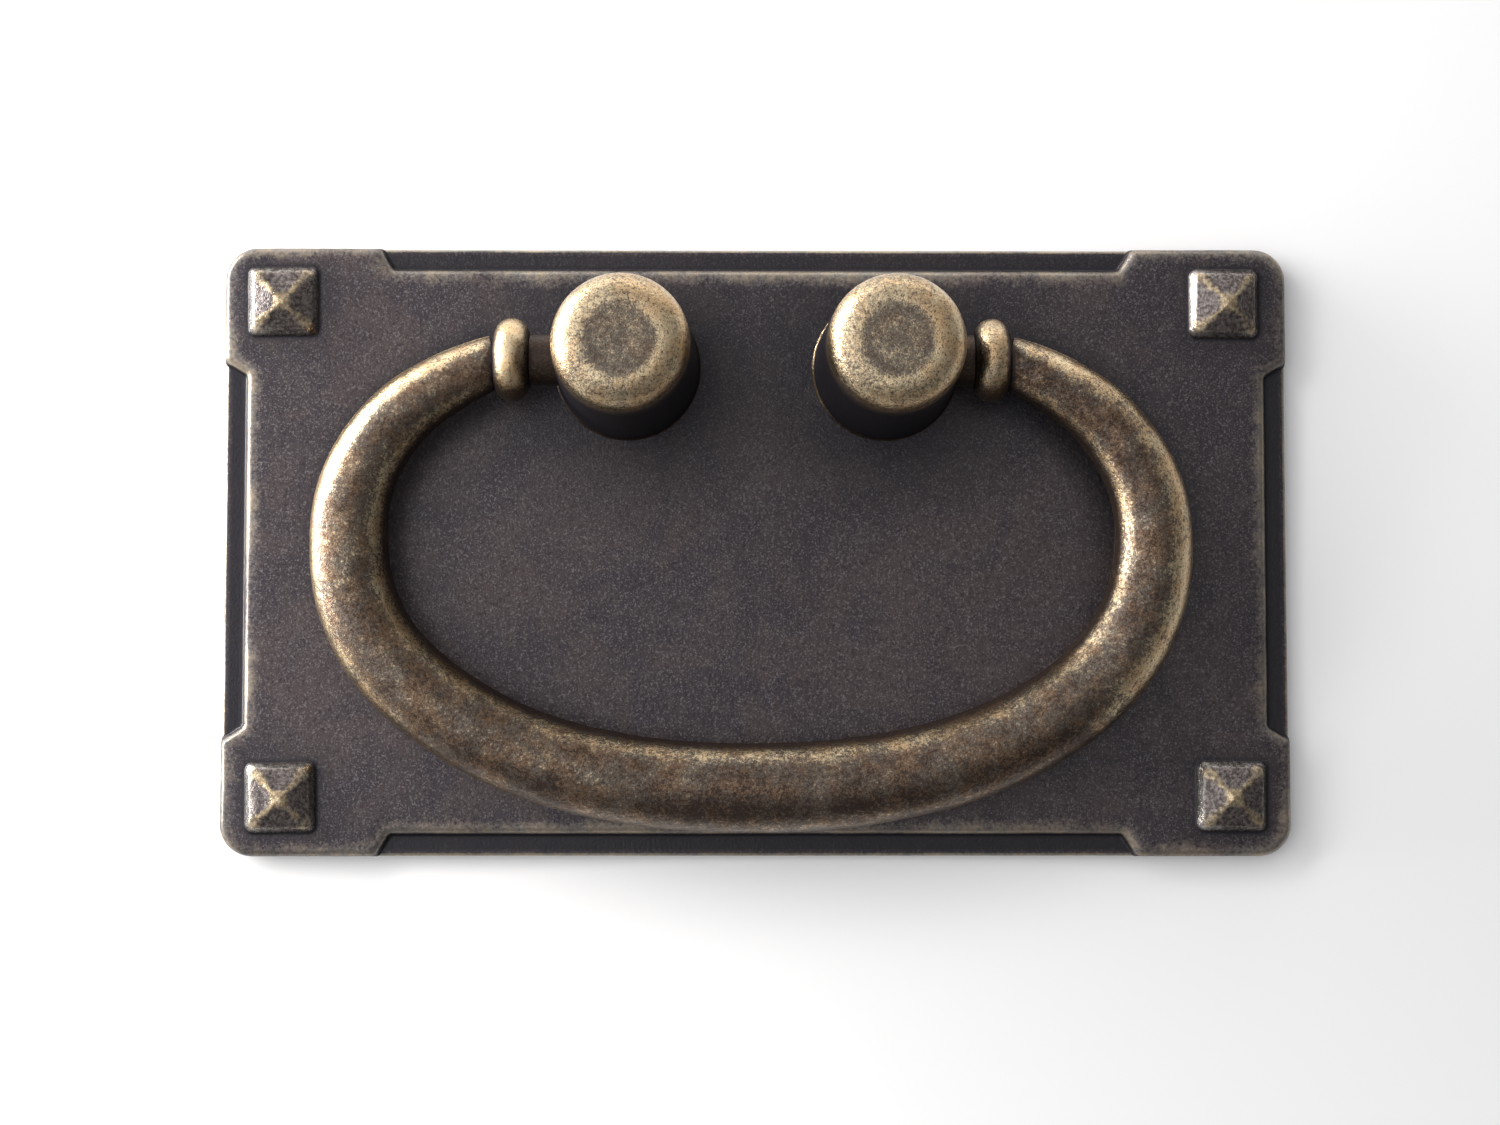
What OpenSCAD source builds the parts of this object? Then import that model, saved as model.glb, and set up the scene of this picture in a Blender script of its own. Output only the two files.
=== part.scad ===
// Bail drawer pull: a cast backplate with four stud bosses, two turned posts
// staked into it, and a cast bail that swings on pins in the sides of the posts.
// The pull lies on its back: +Z points out of the drawer front, +X along the
// plate, +Y up the drawer front. The origin is the middle of the plate's back.
// All sizes are in millimetres.

/* [Backplate] */
// Length of the plate
plate_w = 105; // [92:0.5:130]
// Height of the plate
plate_h = 60; // [58:0.5:80]
// Thickness of the plate through its raised field
plate_t = 3; // [2.6:0.1:5]
// Radius of the plate's four corners
plate_corner_r = 3.2; // [2:0.1:5]
// Width of the lowered strip along each edge
strip_w = 2.2; // [1.4:0.1:2.8]
// Drop from the raised field to the strips
strip_drop = 1.2; // [0.8:0.1:1.6]
// Length of a raised corner block along the long edge
block_w = 15.2; // [13:0.1:18]
// Length of a raised corner block along the short edge
block_h = 11.3; // [10:0.1:14]
// Lean of a block's end as it crosses the strip
block_lean = 1.4; // [0.5:0.1:2]
// Rounding of the raised field's upper edge
field_round = 0.6; // [0.2:0.05:0.7]
// Setback of the raised blocks from the plate's edge
block_setback = 0.06; // [0.04:0.01:0.2]

/* [Stud bosses] */
// Side of a square stud boss at its foot
stud_side = 6.9; // [5:0.1:8]
// Distance from a stud's centre to the plate's short edge
stud_inset_x = 5.95; // [5.5:0.05:8]
// Distance from a stud's centre to the plate's long edge
stud_inset_y = 5.75; // [5.5:0.05:7]
// Height of a stud's bevelled sides
stud_wall = 0.8; // [0.4:0.1:2]
// Height of the low pyramid on a stud
stud_peak = 1.6; // [0.8:0.1:3]

/* [Posts] */
// Distance between the posts, which is also the screw spacing
post_spacing = 25.4; // [22:0.1:28]
// Distance from the posts' axes to the plate's upper edge
post_inset = 12; // [10:0.1:16]
// Height of a post above the plate
post_h = 20; // [16:0.1:26]
// Diameter of a post at its foot
post_foot_d = 14.1; // [12:0.1:16]
// Diameter of a post where its shoulder begins
post_head_d = 12.9; // [11:0.1:15]
// Radius of the round shoulder at the top of a post
shoulder_r = 2.8; // [1:0.1:3.4]
// Diameter of the spigot that passes through the plate
spigot_d = 7; // [6:0.1:8]
// Depth of the staked flare in the back of the plate
stake_depth = 0.7; // [0.4:0.1:1.2]
// Radial clearance between the spigot and its hole
spigot_clearance = 0.03; // [0.02:0.01:0.06]
// Wall diameter of the tapped hole for an M4 screw
tapped_d = 3.3; // [3.2:0.05:3.6]
// Length of the tapped hole's wall
tapped_length = 10; // [6:0.5:11]
// Depth of the lead-in at the mouth of the tapped hole
tapped_lead = 0.5; // [0.2:0.1:0.8]

/* [Bail] */
// Overall width of the bail
bail_w = 85; // [76:0.5:86]
// Distance from the pivot axis to the bail's lower edge
bail_drop = 45.4; // [40:0.1:46]
// Distance from the pivot axis down to the bail's widest place
bail_widest = 17.3; // [14:0.1:20]
// Height of the pivot axis above the plate
pivot_rise = 5.6; // [5.2:0.1:7]
// Diameter of the rod where it leaves a collar
rod_end_d = 4.8; // [4:0.1:6]
// Width of the rod at the bail's widest place
rod_side_d = 7.5; // [6.2:0.1:8]
// Width of the rod in the middle of the grip
rod_grip_d = 8.5; // [8.2:0.1:9.4]
// Depth of the rod as a share of its width
rod_depth_ratio = 0.92; // [0.8:0.01:1]
// Gap between the resting grip and the plate
rest_gap = 0.2; // [0.15:0.05:0.5]
// Sideways place of the bail within its end play, 0 when it is centred
bail_shift = -0.5; // [-0.5:0.1:0.5]

/* [Pivots] */
// Diameter of a collar at the end of the bail
collar_d = 8.1; // [7:0.1:9]
// Thickness of a collar
collar_t = 3.5; // [3:0.1:5]
// Rounding of a collar's edges
collar_round = 1.7; // [0.5:0.1:1.7]
// Length of bare pin between a post and a collar
neck = 1.8; // [1.2:0.1:3]
// Diameter of a pivot pin
pin_d = 4.9; // [4:0.1:5.2]
// Radial running clearance of a pin in its bore
pin_clearance = 0.08; // [0.04:0.01:0.1]
// Gap between the end of a pin and the bottom of its bore
pin_end_gap = 0.9; // [0.7:0.1:1.2]
// Metal left between a pin bore and the tapped hole
bore_web = 1.2; // [0.8:0.1:2]

/* [Hidden] */

BRONZE = [0.27, 0.24, 0.24];
BRASS = [0.62, 0.53, 0.36];

// Smoothness of turned faces, and steps round small and large corners
$fn = 96;
tip_steps = 3;
corner_steps = 8;
edge_steps = 4;

// How far joined pieces of one casting run into each other
sink = 0.4;

// Plan radii of the small corners at a block's ends
block_tip_r = 0.9;
block_nook_r = 0.6;

// Width of the bevel on a stud's sides, width and height of the rounding above it,
// the corner radius, the number of steps up the pyramid, and its blunt tip
stud_bevel = 0.45;
stud_round_w = 0.35;
stud_round_h = 0.25;
stud_corner_r = 0.7;
stud_steps = 3;
stud_tip = 0.5;
stud_tip_r = 0.2;

// Form of the bail: exponents of its upper and lower curves, both fuller than an
// ellipse, and the number of rings on each half and of faces round the rod
upper_power = 2.3;
lower_power = 2.2;
rod_rings = 24;
rod_faces = 20;

// Least band of rim between a collar's rounded edges
collar_rim = 0.1;

// Lead-in on the free end of a pin, and the point of the tapping drill
pin_lead = 0.4;
drill_angle = 118;

field_z = plate_t - strip_drop;
post_y = plate_h / 2 - post_inset;
post_x = post_spacing / 2;
pivot_z = plate_t + pivot_rise;

// Radius of a post at a height above the plate
function post_r_at(h) = let (straight = post_h - shoulder_r)
    post_foot_d / 2 + (post_head_d - post_foot_d) / 2 * h / straight;

// Places along X: outside of a post at the pivot, faces of a collar, end of a pin
post_side_x = post_x + post_r_at(pivot_rise);
collar_in_x = post_side_x + neck;
collar_out_x = collar_in_x + collar_t;
bore_end_x = post_x + tapped_d / 2 + bore_web;
pin_end_x = bore_end_x + pin_end_gap;

// The bail's centreline in its own plane: half width, reach from the pivot axis
// to the middle of the grip, and the rod's end, which lies inside its collar
rod_half_w = bail_w / 2 - rod_side_d / 2;
grip_reach = bail_drop - rod_grip_d / 2;
rod_end_x = collar_out_x - sink;

// Slope at which the bail comes to rest on the plate
rest_angle = asin((pivot_rise - rest_gap - rod_grip_d * rod_depth_ratio / 2) / grip_reach);

function unit(v) = v / norm(v);

// Points of an arc that rounds corner b of the outline a, b, c
function round_corner(a, b, c, r, steps) =
    let (
        u = unit(a - b),
        v = unit(c - b),
        half = acos(u * v) / 2,
        middle = b + unit(u + v) * r / sin(half),
        start = b + u * r / tan(half) - middle,
        turn = (u.x * v.y - u.y * v.x > 0 ? -1 : 1) * (180 - 2 * half)
    )
    [for (i = [0:steps])
        let (angle = turn * i / steps)
        middle + [
            start.x * cos(angle) - start.y * sin(angle),
            start.x * sin(angle) + start.y * cos(angle)
        ]];

// Outline through corners [x, y, radius, steps], each rounded by its radius
function rounded(corners) = let (n = len(corners))
    [for (i = [0:n - 1])
        let (
            a = corners[(i + n - 1) % n],
            b = corners[i],
            c = corners[(i + 1) % n]
        )
        each round_corner([a.x, a.y], [b.x, b.y], [c.x, c.y], b[2], b[3])];

// The outline moved inwards by d; it runs anticlockwise
function inset(outline, d) = let (n = len(outline))
    [for (i = [0:n - 1])
        let (
            p = outline[i],
            u = unit(p - outline[(i + n - 1) % n]),
            v = unit(outline[(i + 1) % n] - p),
            nu = [-u.y, u.x],
            nv = [-v.y, v.x]
        )
        p + d * (nu + nv) / (1 + nu * nv)];

function lift(outline, z) = [for (p = outline) [p.x, p.y, z]];

// Corners of a ring of four like quarters, from the corners of the first
function quarters(c) = let (n = len(c))
    [
        each c,
        each [for (i = [n - 1:-1:0]) [-c[i].x, c[i].y, c[i][2], c[i][3]]],
        each [for (i = [0:n - 1]) [-c[i].x, -c[i].y, c[i][2], c[i][3]]],
        each [for (i = [n - 1:-1:0]) [c[i].x, -c[i].y, c[i][2], c[i][3]]]
    ];

// Closed solid through rings of points, from the first ring to the last. Each
// ring runs anticlockwise as seen from the last one.
module loft(rings) {
    n = len(rings[0]);
    last = len(rings) - 1;
    polyhedron(
        points = [for (ring = rings) each ring],
        faces = [
            [for (i = [0:n - 1]) i],
            each [for (k = [0:last - 1])
                each [for (i = [0:n - 1])
                    let (j = (i + 1) % n)
                    each [
                        [k * n + i, (k + 1) * n + i, (k + 1) * n + j],
                        [k * n + i, (k + 1) * n + j, k * n + j]
                    ]]],
            [for (i = [n - 1:-1:0]) last * n + i]
        ],
        convexity = 6
    );
}

// Closed ribbon through rings of points, which run as in a loft, from the foot of
// its outer side over the top to the foot of its inner side
module ribbon(rings) {
    n = len(rings[0]);
    count = len(rings);
    polyhedron(
        points = [for (ring = rings) each ring],
        faces = [for (k = [0:count - 1], i = [0:n - 1])
            let (
                j = (i + 1) % n,
                near = k * n,
                far = (k + 1) % count * n
            )
            each [
                [near + i, far + i, far + j],
                [near + i, far + j, near + j]
            ]],
        convexity = 6
    );
}

// Outline of the raised field: full corner blocks, and edges drawn in by the
// strips between them
function field_outline() = let (
        edge_x = plate_w / 2 - block_setback,
        edge_y = plate_h / 2 - block_setback,
        in_x = plate_w / 2 - strip_w,
        in_y = plate_h / 2 - strip_w,
        end_x = plate_w / 2 - block_w,
        end_y = plate_h / 2 - block_h
    )
    rounded(quarters([
        [in_x, end_y - block_lean, block_nook_r, tip_steps],
        [edge_x, end_y, block_tip_r, tip_steps],
        [edge_x, edge_y, plate_corner_r - block_setback, corner_steps],
        [end_x, edge_y, block_tip_r, tip_steps],
        [end_x - block_lean, in_y, block_nook_r, tip_steps]
    ]));

module base_slab() {
    linear_extrude(field_z) {
        square([plate_w - 2 * plate_corner_r, plate_h], center = true);
        square([plate_w, plate_h - 2 * plate_corner_r], center = true);
        for (x = [-1, 1], y = [-1, 1])
            translate([
                x * (plate_w / 2 - plate_corner_r),
                y * (plate_h / 2 - plate_corner_r)
            ])
                circle(plate_corner_r);
    }
}

// The field is a flat core and a ribbon round it that carries the rounded edge
module raised_field() {
    outline = field_outline();
    core = inset(outline, field_round);
    foot_z = field_z - sink;
    translate([0, 0, foot_z])
        linear_extrude(plate_t - foot_z)
            polygon(core);
    ribbon([
        lift(outline, foot_z),
        for (i = [0:edge_steps - 1])
            let (angle = 90 * i / edge_steps)
            lift(
                inset(outline, field_round * (1 - cos(angle))),
                plate_t - field_round * (1 - sin(angle))
            ),
        lift(core, plate_t),
        lift(core, foot_z)
    ]);
}

// Square outline of a given side, with rounded corners
function stud_ring(side, r) =
    rounded(quarters([[side / 2, side / 2, r, tip_steps]]));

module stud() {
    crown = stud_side - 2 * stud_bevel - 2 * stud_round_w;
    loft([
        lift(stud_ring(stud_side, stud_corner_r), -sink),
        lift(stud_ring(stud_side, stud_corner_r), 0),
        for (i = [0:edge_steps - 1])
            let (angle = 90 * i / edge_steps)
            lift(
                stud_ring(crown + 2 * stud_round_w * cos(angle), stud_corner_r),
                stud_wall + stud_round_h * sin(angle)
            ),
        for (i = [0:stud_steps])
            let (share = i / stud_steps)
            lift(
                stud_ring(
                    crown + (stud_tip - crown) * share,
                    stud_corner_r + (stud_tip_r - stud_corner_r) * share
                ),
                stud_wall + stud_round_h + (stud_peak - stud_round_h) * share
            )
    ]);
}

// Hole for a post's spigot, with the countersink that its staked end fills
module spigot_hole() {
    r = spigot_d / 2 + spigot_clearance;
    translate([0, 0, -1])
        cylinder(r = r, h = plate_t + 2);
    translate([0, 0, -stake_depth])
        cylinder(r1 = r + 2 * stake_depth, r2 = r, h = 2 * stake_depth);
}

module backplate() {
    color(BRONZE)
        difference() {
            union() {
                base_slab();
                raised_field();
                for (x = [-1, 1], y = [-1, 1])
                    translate([
                        x * (plate_w / 2 - stud_inset_x),
                        y * (plate_h / 2 - stud_inset_y),
                        plate_t
                    ])
                        stud();
            }
            for (side = [-1, 1])
                translate([side * post_x, post_y, 0])
                    spigot_hole();
        }
}

// Turned form of a post above the plate: tapered side and round shoulder
module post_body() {
    straight = post_h - shoulder_r;
    head_r = post_head_d / 2;
    rotate_extrude() {
        polygon([[0, 0], [post_foot_d / 2, 0], [head_r, straight], [0, straight]]);
        intersection() {
            translate([head_r - shoulder_r, straight])
                circle(shoulder_r);
            square([head_r, post_h]);
        }
        square([head_r - shoulder_r, post_h]);
    }
}

// Spigot below the post, flared at its end where it is staked
module spigot() {
    r = spigot_d / 2;
    translate([0, 0, -plate_t])
        cylinder(r = r, h = plate_t);
    translate([0, 0, -plate_t])
        cylinder(r1 = r + stake_depth, r2 = r, h = stake_depth);
}

// Tapped hole from the back, with a lead-in and a drill point
module tapped_hole() {
    r = tapped_d / 2;
    wall_top = tapped_lead + tapped_length;
    translate([0, 0, -plate_t - 1])
        cylinder(r = r, h = 1 + wall_top);
    translate([0, 0, -plate_t - tapped_lead])
        cylinder(r1 = r + 2 * tapped_lead, r2 = r, h = 2 * tapped_lead);
    translate([0, 0, -plate_t + wall_top])
        cylinder(r1 = r, r2 = 0, h = r / tan(drill_angle / 2));
}

// A post stands on its own foot at the origin, with its pin bore towards +X
module post() {
    bore_start = bore_end_x - post_x;
    color(BRASS)
        difference() {
            union() {
                post_body();
                spigot();
            }
            tapped_hole();
            translate([bore_start, 0, pivot_rise])
                rotate([0, 90, 0])
                    cylinder(d = pin_d + 2 * pin_clearance, h = post_foot_d);
        }
}

module right_post() {
    translate([post_x, post_y, plate_t])
        post();
}

module left_post() {
    mirror([1, 0, 0])
        right_post();
}

// The bail's centreline is two quarters of superellipses that meet at the widest
// place. The upper one is as high as brings the rod's end on to the pivot axis.
upper_start = acos(pow(rod_end_x / rod_half_w, upper_power / 2));
upper_rise = bail_widest / pow(sin(upper_start), 2 / upper_power);
lower_drop = grip_reach - bail_widest;

// Point on the right half of the centreline, from upper_start at the collar,
// through 0 at the widest place, to -90 in the middle of the grip
function bail_point(angle) =
    let (power = 2 / (angle > 0 ? upper_power : lower_power))
    [
        rod_half_w * pow(cos(angle), power),
        -bail_widest + (angle > 0 ? upper_rise : -lower_drop) * pow(abs(sin(angle)), power)
    ];

// Half of the centreline, from the collar to the middle of the grip
half_path = [for (i = [0:rod_rings])
    let (share = i / rod_rings)
    bail_point(upper_start - (upper_start + 90) * share)];

// The whole centreline, from the right collar round to the left one
rod_path = [
    each half_path,
    each [for (i = [rod_rings - 1:-1:0]) [-half_path[i].x, half_path[i].y]]
];

// The rod swells from the collar to the grip, and has its side width at the
// widest place
side_share = upper_start / (upper_start + 90);
side_gain = (rod_side_d - rod_end_d) / (rod_grip_d - rod_end_d);
swell_power = ln(asin(side_gain) / 90) / ln(side_share);

// Width of the rod at a share of the way from a collar to the middle of the grip
function rod_width(share) =
    rod_end_d + (rod_grip_d - rod_end_d) * sin(90 * pow(share, swell_power));

module rod() {
    n = len(rod_path);
    loft([for (k = [0:n - 1])
        let (
            before = rod_path[max(k - 1, 0)],
            after = rod_path[min(k + 1, n - 1)],
            along = unit(after - before),
            across = [-along.y, along.x],
            share = 1 - abs(k - rod_rings) / rod_rings,
            half_w = rod_width(share) / 2,
            half_d = half_w * rod_depth_ratio
        )
        [for (i = [0:rod_faces - 1])
            let (
                angle = 360 * i / rod_faces,
                side = half_w * cos(angle)
            )
            [
                rod_path[k].x + across.x * side,
                rod_path[k].y + across.y * side,
                half_d * sin(angle)
            ]]]);
}

// Bead-like collar, its inner face at the origin and its axis along +X. A thin
// collar limits its rounding, which leaves at least a narrow band of rim.
module collar() {
    r = collar_d / 2;
    edge = min(collar_round, (collar_t - collar_rim) / 2);
    rotate([0, 90, 0])
        rotate_extrude() {
            square([r - edge, collar_t]);
            translate([0, edge])
                square([r, collar_t - 2 * edge]);
            for (x = [edge, collar_t - edge])
                intersection() {
                    translate([r - edge, x])
                        circle(edge);
                    square([r, collar_t]);
                }
        }
}

module pin() {
    r = pin_d / 2;
    length = collar_in_x - pin_end_x;
    translate([pin_end_x, 0, 0])
        rotate([0, 90, 0]) {
            cylinder(r1 = r - pin_lead, r2 = r, h = pin_lead);
            translate([0, 0, pin_lead])
                cylinder(r = r, h = length - pin_lead + sink);
        }
}

module bail_end() {
    translate([collar_in_x, 0, 0])
        collar();
    pin();
}

module bail() {
    color(BRASS)
        translate([bail_shift, post_y, pivot_z])
            rotate([rest_angle, 0, 0]) {
                rod();
                bail_end();
                mirror([1, 0, 0])
                    bail_end();
            }
}

backplate();
left_post();
right_post();
bail();
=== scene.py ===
import math

import bpy
import numpy as np
from mathutils import Matrix, Vector, noise
from mathutils.geometry import delaunay_2d_cdt
from mathutils.kdtree import KDTree


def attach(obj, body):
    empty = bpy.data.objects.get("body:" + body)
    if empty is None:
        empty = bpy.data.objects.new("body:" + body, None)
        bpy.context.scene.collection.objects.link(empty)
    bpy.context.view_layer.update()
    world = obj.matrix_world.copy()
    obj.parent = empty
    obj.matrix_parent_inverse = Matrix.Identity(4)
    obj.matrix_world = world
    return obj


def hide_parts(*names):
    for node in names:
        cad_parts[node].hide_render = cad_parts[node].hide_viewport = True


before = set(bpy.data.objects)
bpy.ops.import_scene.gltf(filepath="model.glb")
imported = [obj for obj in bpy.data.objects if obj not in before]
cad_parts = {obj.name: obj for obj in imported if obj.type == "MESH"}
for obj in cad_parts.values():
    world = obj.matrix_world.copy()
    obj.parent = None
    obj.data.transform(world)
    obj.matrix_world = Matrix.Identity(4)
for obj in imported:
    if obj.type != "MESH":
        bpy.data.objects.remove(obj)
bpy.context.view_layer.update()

# Sizes are in millimetres, as in the CAD source, until a mesh is made
MM = 0.001

# Backplate
PLATE_W, PLATE_H, PLATE_T = 105.0, 60.0, 3.0
PLATE_CORNER = 3.2
STRIP_W, STRIP_DROP = 2.2, 1.2
STRIP_Z = PLATE_T - STRIP_DROP
BLOCK_W, BLOCK_H, BLOCK_LEAN = 15.2, 11.3, 1.4
TIP_R, NOOK_R = 0.9, 0.6
FIELD_ROUND = 0.7
WALL_DRAFT, WALL_FILLET = 0.1, 0.25
SLAB_ROUND = 0.35
# The faces lie this far inside those of the CAD model, so that the unevenness stays in its box
SKIN, RIM_SKIN = 0.03, 0.025
# Height and distance from the edge of the rings at the back of the plate
BACK_RINGS = ((1.0, RIM_SKIN), (0.35, RIM_SKIN), (0.15, 0.08), (0.04, 0.2), (0.0, 0.35))

# Studs
STUD_SIDE, STUD_X, STUD_Y = 6.9, 46.55, 24.25
STUD_FOOT, STUD_WALL, STUD_PEAK = 0.14, 0.8, 1.6
STUD_BEVEL, STUD_ROUND_W, STUD_ROUND_H = 0.45, 0.35, 0.25
STUD_CROWN = STUD_WALL + STUD_ROUND_H
STUD_TOP = STUD_WALL + STUD_PEAK - 0.12
STUD_TIP_HALF = 0.36
# How the photo's studs sit, by the signs of their x and y: turn, shift, and lean of the tip
STUDS = {
    (1, 1): (-0.010, (-0.30, 0.20), (0.18, -0.18)),
    (-1, 1): (0.008, (-0.10, 0.30), (0.13, -0.31)),
    (-1, -1): (0.014, (0.10, 0.03), (0.26, -0.08)),
    (1, -1): (-0.012, (0.0, 0.14), (-0.07, -0.04)),
}

# Posts
POST_X, POST_Y = 12.7, 18.0
POST_H = 20.0
POST_TOP = PLATE_T + POST_H
FOOT_R, HEAD_R = 7.05, 6.45
SHOULDER_R = 2.8
# Small flare at the foot: how far out and up each point lies
FOOT_FLARE = ((0.0, 0.40), (0.04, 0.28), (0.13, 0.16), (0.15, 0.07), (0.10, 0.0))
SPIGOT_R, STAKE = 3.5, 0.7
HOLE_R, HOLE_POINTS = SPIGOT_R + 0.03, 64
TAPPED_R, TAPPED_LENGTH, TAPPED_LEAD = 1.65, 10.0, 0.5
DRILL_HALF_ANGLE = math.radians(59)
# One turn of an M4 thread as a groove: how deep and how far up each point lies
THREAD_PITCH = 0.7
THREAD_GROOVE = ((0.0, 0.08), (0.3, 0.3), (0.3, 0.36), (0.0, 0.6))

# Bail
PIVOT_RISE = 5.6
PIVOT = Vector((-0.5, POST_Y, PLATE_T + PIVOT_RISE))
BAIL_W, BAIL_DROP, BAIL_WIDEST = 85.0, 45.4, 17.3
ROD_END, ROD_SIDE, ROD_GRIP, ROD_DEPTH = 4.8, 7.5, 8.5, 0.92
ROD_IN_COLLAR = 0.4
UPPER_POWER, LOWER_POWER = 2.3, 2.2
REST_GAP = 0.2
COLLAR_D, COLLAR_T = 8.1, 3.5
BEAD_ROOT = 2.15
NECK = 1.8
PIN_D, PIN_GAP, PIN_CHAMFER = 4.9, 0.08, 0.4
BORE_WALL, PIN_END_GAP = 1.2, 0.9
BORE_END_X = POST_X + TAPPED_R + BORE_WALL
PIN_END_X = BORE_END_X + PIN_END_GAP
POST_R_AT_PIVOT = FOOT_R + (HEAD_R - FOOT_R) * PIVOT_RISE / (POST_H - SHOULDER_R)
COLLAR_IN = POST_X + POST_R_AT_PIVOT + NECK
COLLAR_OUT = COLLAR_IN + COLLAR_T
# The photo's bail isn't symmetric. Each row moves one place: whether it is on the left, its share
# of the way from collar to grip, half its length as such a share, and how far and which way
BAIL_MOVES = (
    (True, 0.13, 0.07, 0.14, (-0.75, 0.65)),
    (True, 0.66, 0.10, 0.22, (0.6, 0.8)),
    (False, 0.24, 0.08, 0.16, (-0.9, -0.4)),
)


def smooth(t):
    t = np.clip(t, 0.0, 1.0)
    return t * t * (3 - 2 * t)


def bell(value, middle, width):
    """1 at the middle, and less on both sides."""
    return np.exp(-(((value - middle) / width) ** 2))


def lumps(points, size, seed):
    """Soft noise of about -1 to 1 with lumps of that size, one value for each point."""
    shift = Vector((seed * 17.31, seed * 5.77, seed * 9.13))
    return np.array([noise.noise(Vector(p) / size + shift) for p in points])


def mark(obj, key, values):
    """Gives each point of the mesh a number that the materials read."""
    layer = obj.data.attributes.new(key, "FLOAT", "POINT")
    layer.data.foreach_set("value", np.asarray(values, np.float32))


def points_of(obj):
    """Points of the mesh in millimetres."""
    co = np.zeros(len(obj.data.vertices) * 3)
    obj.data.vertices.foreach_get("co", co)
    return co.reshape(-1, 3) / MM


def new_object(name, verts, faces, marks=None, sharp=40):
    """A smooth-shaded mesh object from millimetres, with marks on its points."""
    mesh = bpy.data.meshes.new(name)
    mesh.from_pydata((np.asarray(verts) * MM).tolist(), [], faces)
    mesh.validate()
    obj = bpy.data.objects.new(name, mesh)
    for key, values in (marks or {}).items():
        mark(obj, key, values)
    bpy.context.scene.collection.objects.link(obj)
    finish_mesh(obj, sharp)
    return obj


def finish_mesh(obj, sharp):
    """Smooth shading, with an edge where faces meet at more than that many degrees."""
    mesh = obj.data
    mesh.polygons.foreach_set("use_smooth", [True] * len(mesh.polygons))
    mesh.set_sharp_from_angle(angle=math.radians(sharp))
    mesh.update()


def combine(target, tool, operation):
    """Applies a boolean of two closed meshes and removes the tool."""
    cut = target.modifiers.new("cut", "BOOLEAN")
    cut.operation = operation
    cut.object = tool
    cut.solver = "MANIFOLD"
    shown = bpy.context.evaluated_depsgraph_get()
    result = bpy.data.meshes.new_from_object(target.evaluated_get(shown))
    old = target.data
    target.modifiers.clear()
    target.data = result
    bpy.data.meshes.remove(old)
    bpy.data.objects.remove(tool)
    target.data.name = target.name
    # The boolean leaves an empty material slot
    target.data.materials.clear()


def band_faces(first, second):
    """Quads between two rings of vertex numbers."""
    n = len(first)
    return [
        (first[i], first[(i + 1) % n], second[(i + 1) % n], second[i]) for i in range(n)
    ]


def lathe(profile, steps):
    """Vertices and faces turned about Z from (radius, z) points. A radius of 0 is a pole.
    Faces point outwards where the solid is on the left as the profile runs."""
    verts, rings, faces = [], [], []
    for r, z in profile:
        if r == 0:
            rings.append([len(verts)] * steps)
            verts.append((0.0, 0.0, z))
        else:
            rings.append(list(range(len(verts), len(verts) + steps)))
            for i in range(steps):
                a = 2 * math.pi * i / steps
                verts.append((r * math.cos(a), r * math.sin(a), z))
    for low, high in zip(rings, rings[1:]):
        for face in band_faces(low, high):
            corners = list(dict.fromkeys(face))
            if len(corners) > 2:
                faces.append(tuple(corners))
    return np.array(verts), faces


def lay_along_x(obj, sx, place=(0, 0, 0)):
    """Turns a lathed mesh from Z to X, moves it, and turns it round for the left side."""
    turn = Matrix.Rotation(math.radians(90), 4, "Y")
    obj.data.transform(Matrix.Translation(place) @ turn)
    if sx < 0:
        obj.data.transform(Matrix.Rotation(math.pi, 4, "Z"))


def arc(cx, cz, r, a0, a1, steps):
    """Points of an arc from angle a0 to a1 in degrees, both ends included."""
    angles = [math.radians(a0 + (a1 - a0) * k / steps) for k in range(steps + 1)]
    return [(cx + r * math.cos(a), cz + r * math.sin(a)) for a in angles]


def line(p, q, steps):
    """Points from p to q, without p."""
    return [
        (p[0] + (q[0] - p[0]) * k / steps, p[1] + (q[1] - p[1]) * k / steps)
        for k in range(1, steps + 1)
    ]


def round_corner(a, b, c, r, steps):
    """Points of an arc of radius r that rounds corner b of the outline a, b, c."""
    a, b, c = np.array(a), np.array(b), np.array(c)
    u = (a - b) / np.linalg.norm(a - b)
    v = (c - b) / np.linalg.norm(c - b)
    half = math.acos(float(u @ v)) / 2
    middle = b + (u + v) / np.linalg.norm(u + v) * r / math.sin(half)
    x, y = b + u * r / math.tan(half) - middle
    turn = (math.pi - 2 * half) * (-1 if u[0] * v[1] - u[1] * v[0] > 0 else 1)
    out = []
    for i in range(steps + 1):
        cos, sin = math.cos(turn * i / steps), math.sin(turn * i / steps)
        out.append(middle + np.array((x * cos - y * sin, x * sin + y * cos)))
    return out


def rounded(corners):
    """Outline through corners (x, y, radius, steps), each rounded by its radius."""
    n = len(corners)
    out = []
    for i, (x, y, r, steps) in enumerate(corners):
        a, c = corners[i - 1], corners[(i + 1) % n]
        out += round_corner(a[:2], (x, y), c[:2], r, steps)
    return out


def quarters(corners):
    """Corners of a ring of four like quarters, from the corners of the first."""
    back = corners[::-1]
    return (
        corners
        + [(-x, y, r, s) for x, y, r, s in back]
        + [(-x, -y, r, s) for x, y, r, s in corners]
        + [(x, -y, r, s) for x, y, r, s in back]
    )


def spaced(outline, step):
    """The closed outline with its long sides divided into steps of about that size."""
    out = []
    for i, p in enumerate(outline):
        q = outline[(i + 1) % len(outline)]
        count = max(1, round(float(np.linalg.norm(q - p)) / step))
        out += [p + (q - p) * k / count for k in range(count)]
    return np.array(out)


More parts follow.
